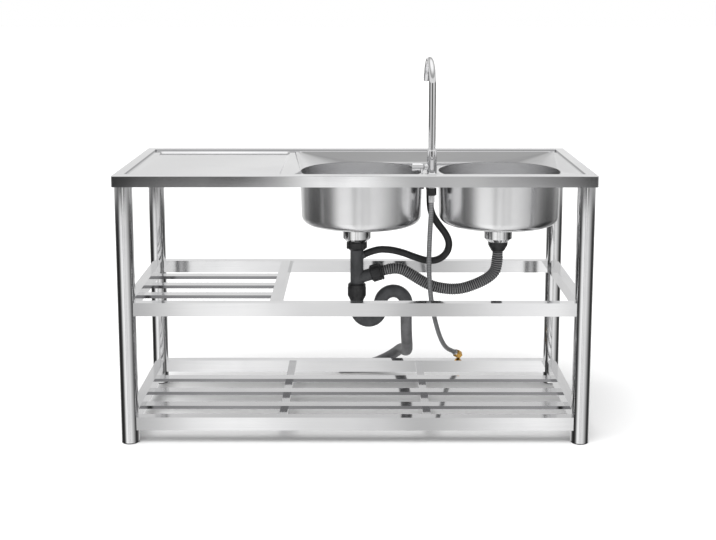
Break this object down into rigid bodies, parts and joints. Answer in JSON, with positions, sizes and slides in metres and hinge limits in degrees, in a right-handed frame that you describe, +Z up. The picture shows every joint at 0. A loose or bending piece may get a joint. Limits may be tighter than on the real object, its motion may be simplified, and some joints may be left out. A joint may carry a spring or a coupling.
{
  "type": "kitchen sink unit",
  "caption": "Free-standing steel sink unit: pressed top with drainboard and round bowls on tube legs, slatted shelves, gooseneck tap and waste pipes.",
  "frame": {"origin": "on the floor, under the middle of the top", "axes": "+X along the unit towards the bowls, +Y from the front edge to the back edge, +Z up"},
  "size_m": [1.4, 0.7007, 1.1354],
  "materials": {
    "pressed_steel": "satin, lightly polished stainless sheet",
    "tube_steel": "satin stainless tube",
    "polished_steel": "bright polished stainless",
    "zinc_steel": "zinc plated",
    "tap_chrome": "plated",
    "black_plastic": "moulded black",
    "grey_plastic": "moulded dark grey",
    "grey_hose": "ribbed or smooth flexible grey",
    "black_hose": "smooth black",
    "rubber": "matt",
    "dark_nut": "moulded dark",
    "braided_hose": "stainless braid over a rubber core",
    "brass": "bright turned"
  },
  "bodies": {
    "frame": {"deck": "pressed_steel", "bowl_left": "pressed_steel", "bowl_right": "pressed_steel", "leg_front_left": "tube_steel", "leg_front_right": "tube_steel", "leg_back_left": "tube_steel", "leg_back_right": "tube_steel", "feet": "black_plastic", "leg_spigots": "black_plastic", "corner_plates": "pressed_steel", "leg_bolts": "zinc_steel", "middle_rail_front": "tube_steel", "middle_rail_back": "tube_steel", "middle_rail_left": "tube_steel", "middle_rail_right": "tube_steel", "bottom_rail_front": "tube_steel", "bottom_rail_back": "tube_steel", "bottom_rail_left": "tube_steel", "bottom_rail_right": "tube_steel", "middle_cross_rail": "tube_steel", "middle_slat_1": "tube_steel", "middle_slat_2": "tube_steel", "middle_slat_3": "tube_steel", "bottom_slat_1": "tube_steel", "bottom_slat_2": "tube_steel", "bottom_slat_3": "tube_steel", "bottom_braces": "tube_steel", "drainboard_channels": "pressed_steel", "strainer_cup_left": "polished_steel", "strainer_cup_right": "polished_steel", "waste_gaskets": "rubber", "waste_lock_rings": "black_plastic", "outlet_washer_left": "rubber", "wing_nut": "black_plastic", "waste_tee": "grey_plastic", "branch_nut": "black_plastic", "trap_nut": "black_plastic", "s_trap": "grey_plastic", "cone_nut": "black_plastic", "cross_hose": "grey_hose", "overflow_cover": "polished_steel", "overflow_elbow": "black_plastic", "overflow_hose": "black_hose", "drain_hose": "grey_hose", "drain_hose_cuff": "grey_hose", "tap_body": "tap_chrome", "tap_cartridge": "dark_nut", "tap_washer": "rubber", "tap_lock_nut": "zinc_steel", "supply_top_nut": "dark_nut", "supply_top_ferrule": "polished_steel", "supply_hose": "braided_hose", "supply_end_ferrule": "polished_steel", "supply_end_nut": "brass"},
    "spout": {"tap_spout": "tap_chrome", "aerator": "tap_chrome"},
    "handle": {"tap_handle": "tap_chrome"},
    "basket_left": {"strainer_basket_left": "polished_steel"},
    "basket_right": {"strainer_basket_right": "polished_steel"}
  },
  "joints": [
    {"name": "spout_swivel", "type": "hinge", "parent": "frame", "child": "spout", "pos_m": [0.233, -0.096, 0.857], "axis": [0, 0, 1], "continuous": true},
    {"name": "handle_turn", "type": "hinge", "parent": "frame", "child": "handle", "pos_m": [0.19, -0.096, 0.8055], "axis": [-1, 0, 0], "range_deg": [0, 90]},
    {"name": "basket_left_lift", "type": "slide", "parent": "frame", "child": "basket_left", "axis": [0, 0, 1], "range_m": [0, 0.06]},
    {"name": "basket_right_lift", "type": "slide", "parent": "frame", "child": "basket_right", "axis": [0, 0, 1], "range_m": [0, 0.06]}
  ]
}
